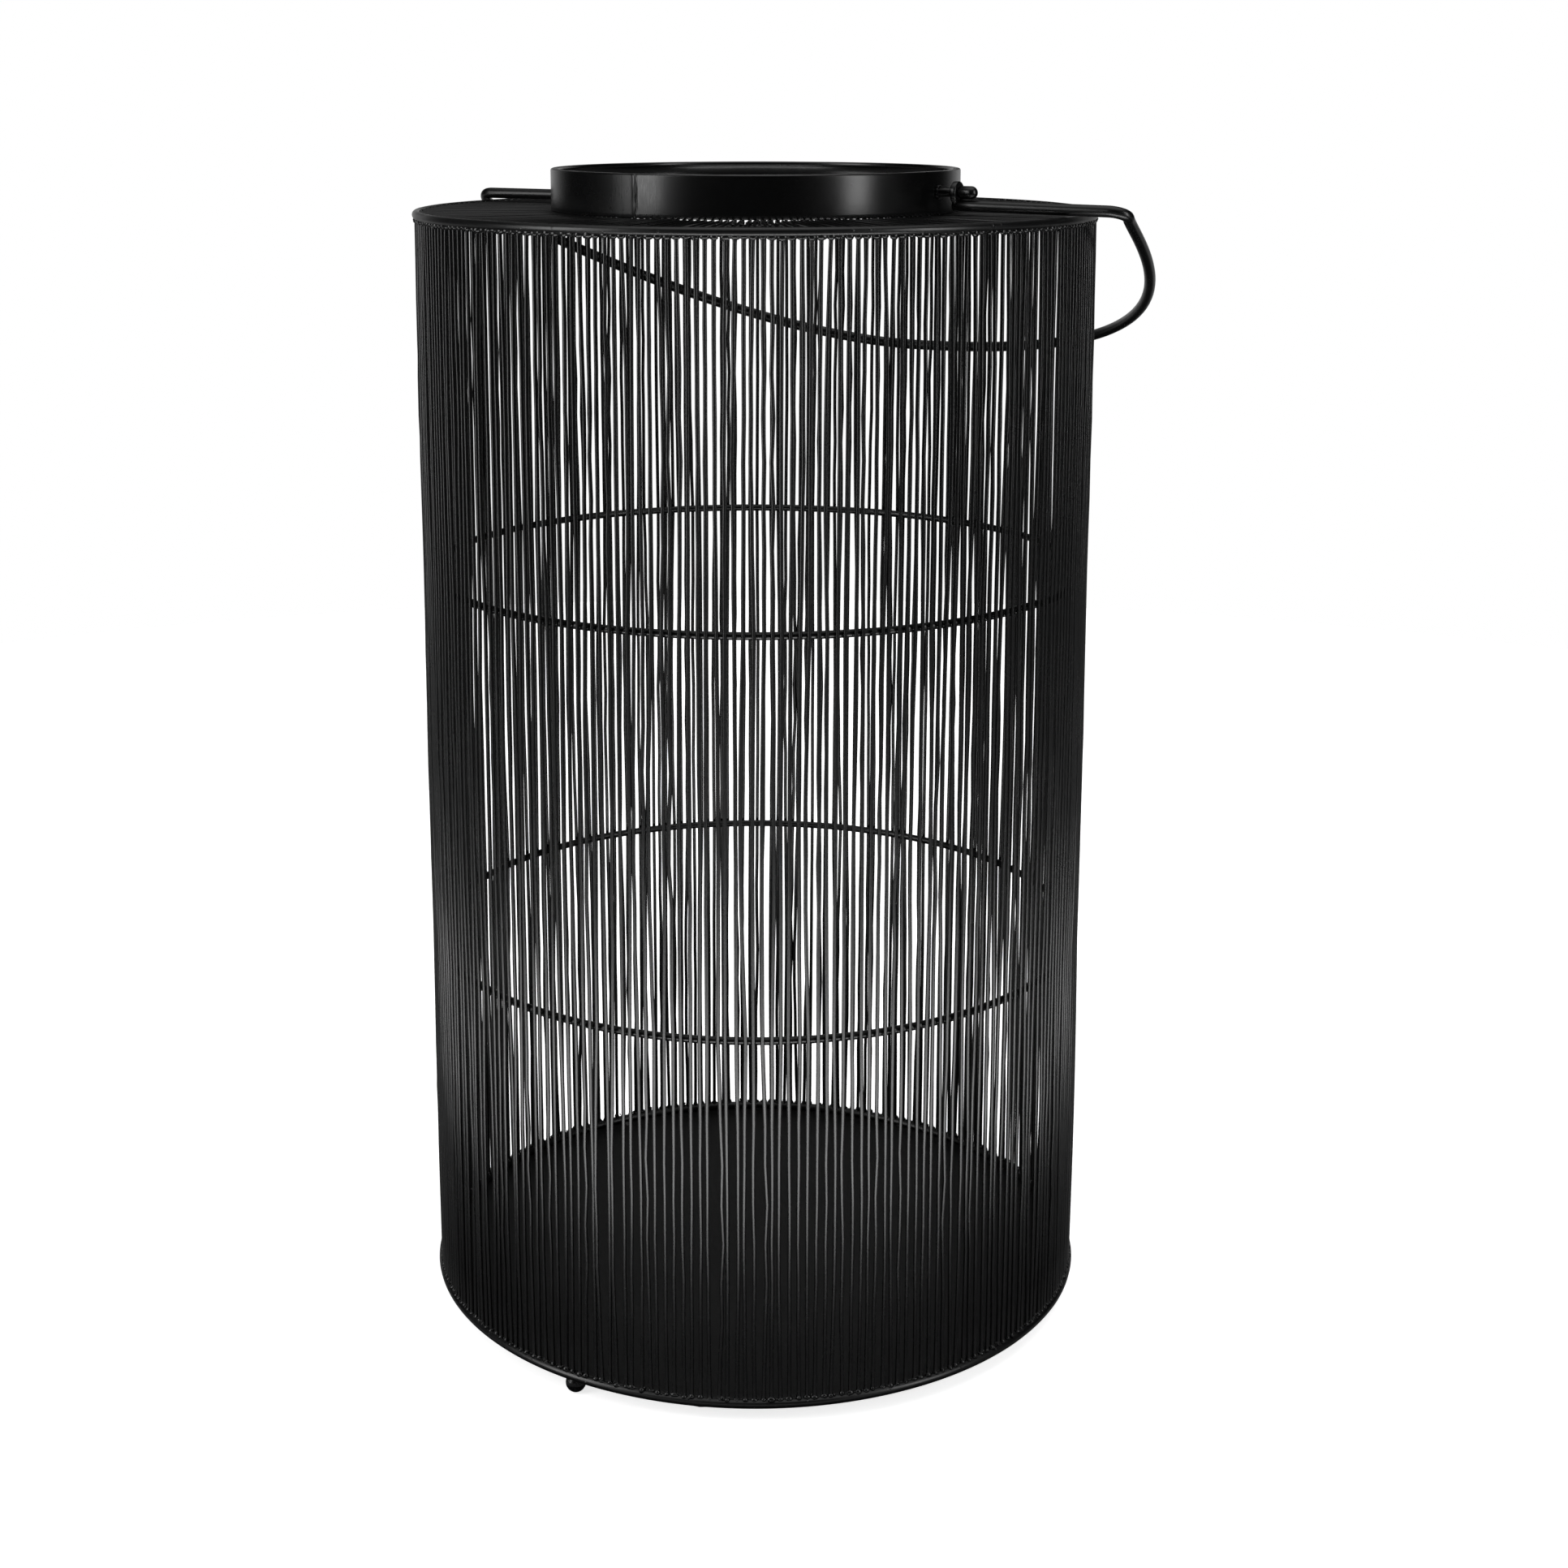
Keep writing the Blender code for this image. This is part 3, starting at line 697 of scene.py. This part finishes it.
def make_bail():
    """A bent rod with a flattened eye at each end, hung on the pins."""
    right = bail_side(mirror=1.0, **RIGHT_SIDE)
    left = bail_side(mirror=-1.0, **LEFT_SIDE)
    outline = right + [Vector((-point.x, point.y)) for point in reversed(left[:-1])]
    path = []
    for flat in outline:
        below = BAIL_DROP + flat.y * math.sin(BAIL_TILT)
        path.append(Vector((flat.x, flat.y * math.cos(BAIL_TILT), PIN_HEIGHT - below)))
    rod = BAIL_ROD / 2
    dome = [math.pi / 2 * step / 4 for step in range(1, 4)]
    ends = []
    for end in (path[0], path[-1]):
        inward = Vector((math.copysign(1.0, -end.x), 0.0, 0.0))
        ends.append([(end + inward * rod * 0.25 * math.sin(a), rod * math.cos(a)) for a in dome])
    full = [(p, r) for p, r in reversed(ends[0])] + [(point, rod) for point in path] + ends[1]
    work = Work()
    work.rod([point for point, _ in full], [radius for _, radius in full], 20)
    for side in (1, -1):
        hole = EYE_HOLE / 2
        wide = EYE_DIAMETER / 2
        face = EYE_WIDTH / 2
        soft = 0.0006
        corner = [math.pi / 2 * step / 3 for step in range(4)]
        outside = [(wide - soft + soft * math.cos(a), face - soft + soft * math.sin(a)) for a in corner]
        inside = [(hole + soft * 0.5 * (1.0 - math.sin(a)), face - soft * 0.5 * (1.0 - math.cos(a)))
                  for a in corner]
        half = outside + inside
        profile = half + [(radius, -depth) for radius, depth in reversed(half)]
        middle = BAIL_START - 0.0005 + face
        work.turned([(radius, middle + depth) for radius, depth in profile], 40, along_x(side))
        luck = random.Random(70 + side)
        for step in range(9):
            turn = math.radians(-140.0 + 100.0 * step / 8)
            ring = Vector((side * middle, math.cos(turn) * wide, PIN_HEIGHT + math.sin(turn) * wide))
            outward = Vector((0.0, math.cos(turn), math.sin(turn)))
            size = (face * 0.85, 0.0009, 0.0012)
            work.bead(ring, Vector((1.0, 0.0, 0.0)), outward, size, luck, lump=0.06)
    return work.make("bail_bent_rod", BAIL_LACQUER, "bail", ["bail_handle"])


# ---- floor, light and camera --------------------------------------------------------------------
CAMERA_TURN = math.radians(31.0)    # from -Y towards +X
CAMERA_REACH = 1.4023
CAMERA_HEIGHT = 0.7381
CAMERA_PITCH = 0.2210
CAMERA_LENS = 54.055
CAMERA_SHIFT = (0.0182, -0.1066)
FLOOR_RADIUS = 2.0
FLOOR_GLOW = 0.84                   # the floor's own light, which keeps the shadow beside the base faint
AIM = Vector((0.0, 0.0, 0.40))      # what the side boxes point at


def studio_place(turn, reach, height):
    """A point round the lantern: turn is in degrees from the camera's side, + to the camera's right."""
    angle = CAMERA_TURN + math.radians(turn)
    return Vector((math.sin(angle) * reach, -math.cos(angle) * reach, height))


def make_floor():
    bpy.ops.mesh.primitive_circle_add(vertices=128, radius=FLOOR_RADIUS, fill_type="NGON",
                                      location=(0.0, 0.0, 0.0))
    floor = bpy.context.object
    floor.name = "studio_floor"
    made = NodeMaker(bpy.data.materials.new("pale_paper"))
    place = made.node("ShaderNodeTexCoord", output="Object")
    fibres = made.noise(place, 0.004, detail=3.0)
    colour = made.colours(fibres, (0.90, 0.90, 0.90), (0.93, 0.93, 0.93))
    sockets = {"Base Color": colour, "Roughness": 0.9}
    sockets.update({"Emission Color": colour, "Emission Strength": FLOOR_GLOW})
    shader = made.node("ShaderNodeBsdfPrincipled", None, sockets)
    made.node("ShaderNodeOutputMaterial", None, {"Surface": shader})
    floor.data.materials.append(made.owner)
    floor.visible_glossy = False


def soft_box(name, place, target, width, height, power):
    light = bpy.data.lights.new(name, "AREA")
    light.shape = "RECTANGLE"
    light.size = width
    light.size_y = height
    light.energy = power
    made = bpy.data.objects.new(name, light)
    bpy.context.scene.collection.objects.link(made)
    made.location = place
    made.rotation_euler = (target - place).to_track_quat("-Z", "Y").to_euler()
    made.visible_camera = False
    return made


def make_world():
    """A white background, and for reflections a studio: white backdrop behind, a lit floor in front."""
    made = NodeMaker(bpy.data.worlds.new("studio"))
    bpy.context.scene.world = made.owner
    ray = made.node("ShaderNodeTexCoord", output="Generated")
    towards = studio_place(0.0, 1.0, 0.0)
    front = made.node("ShaderNodeVectorMath", {"operation": "DOT_PRODUCT"}, {0: ray, 1: towards}, "Value")
    rise = made.node("ShaderNodeSeparateXYZ", None, {0: ray}, "Z")
    behind = 1.0 - front.between(-0.97, -0.62)
    backdrop = behind * (1.0 - rise.between(0.10, 0.40)) * rise.between(-0.40, -0.02)
    floor_sheen = rise.between(-0.52, -0.40) * (1.0 - rise.between(-0.36, -0.08))
    ceiling = rise.between(0.70, 0.95)
    level = backdrop * 0.6 + floor_sheen * 0.25 + ceiling + 0.006
    reflected = made.node("ShaderNodeBackground", None, {"Color": (1.0, 1.0, 1.0, 1.0), "Strength": level})
    seen = made.node("ShaderNodeBackground", None, {"Color": (1.0, 1.0, 1.0, 1.0), "Strength": 1.0})
    direct = made.node("ShaderNodeLightPath", output="Is Camera Ray")
    both = made.node("ShaderNodeMixShader", None, {0: direct, 1: reflected, 2: seen})
    made.node("ShaderNodeOutputWorld", None, {"Surface": both})


def make_lights():
    soft_box("left_box", studio_place(-62.5, 1.7, 0.85), AIM, 0.66, 1.6, 17.0)
    soft_box("right_box", studio_place(55.3, 1.9, 0.95), AIM, 0.40, 1.4, 11.5)
    overhead = soft_box("overhead", Vector((0.0, 0.3, 2.6)), Vector((0.0, 0.0, 0.0)), 3.2, 3.2, 24.0)
    overhead.visible_glossy = False
    glow = soft_box("floor_glow", studio_place(0.0, 0.57, 0.004), AIM, 1.3, 0.32, 8.0)
    glow.rotation_euler = (math.pi, 0.0, CAMERA_TURN)


def make_camera():
    lens = bpy.data.cameras.new("camera")
    lens.lens = CAMERA_LENS
    lens.shift_x, lens.shift_y = CAMERA_SHIFT
    camera = bpy.data.objects.new("camera", lens)
    bpy.context.scene.collection.objects.link(camera)
    camera.location = studio_place(0.0, CAMERA_REACH, CAMERA_HEIGHT)
    camera.rotation_euler = (math.pi / 2 - CAMERA_PITCH, 0.0, CAMERA_TURN)
    bpy.context.scene.camera = camera
    bpy.context.scene.view_settings.view_transform = "Standard"


make_rings()
make_wall_wires()
make_top_wires()
make_collar()
make_base_plate()
make_feet()
make_pins()
make_bail()
make_floor()
make_world()
make_lights()
make_camera()
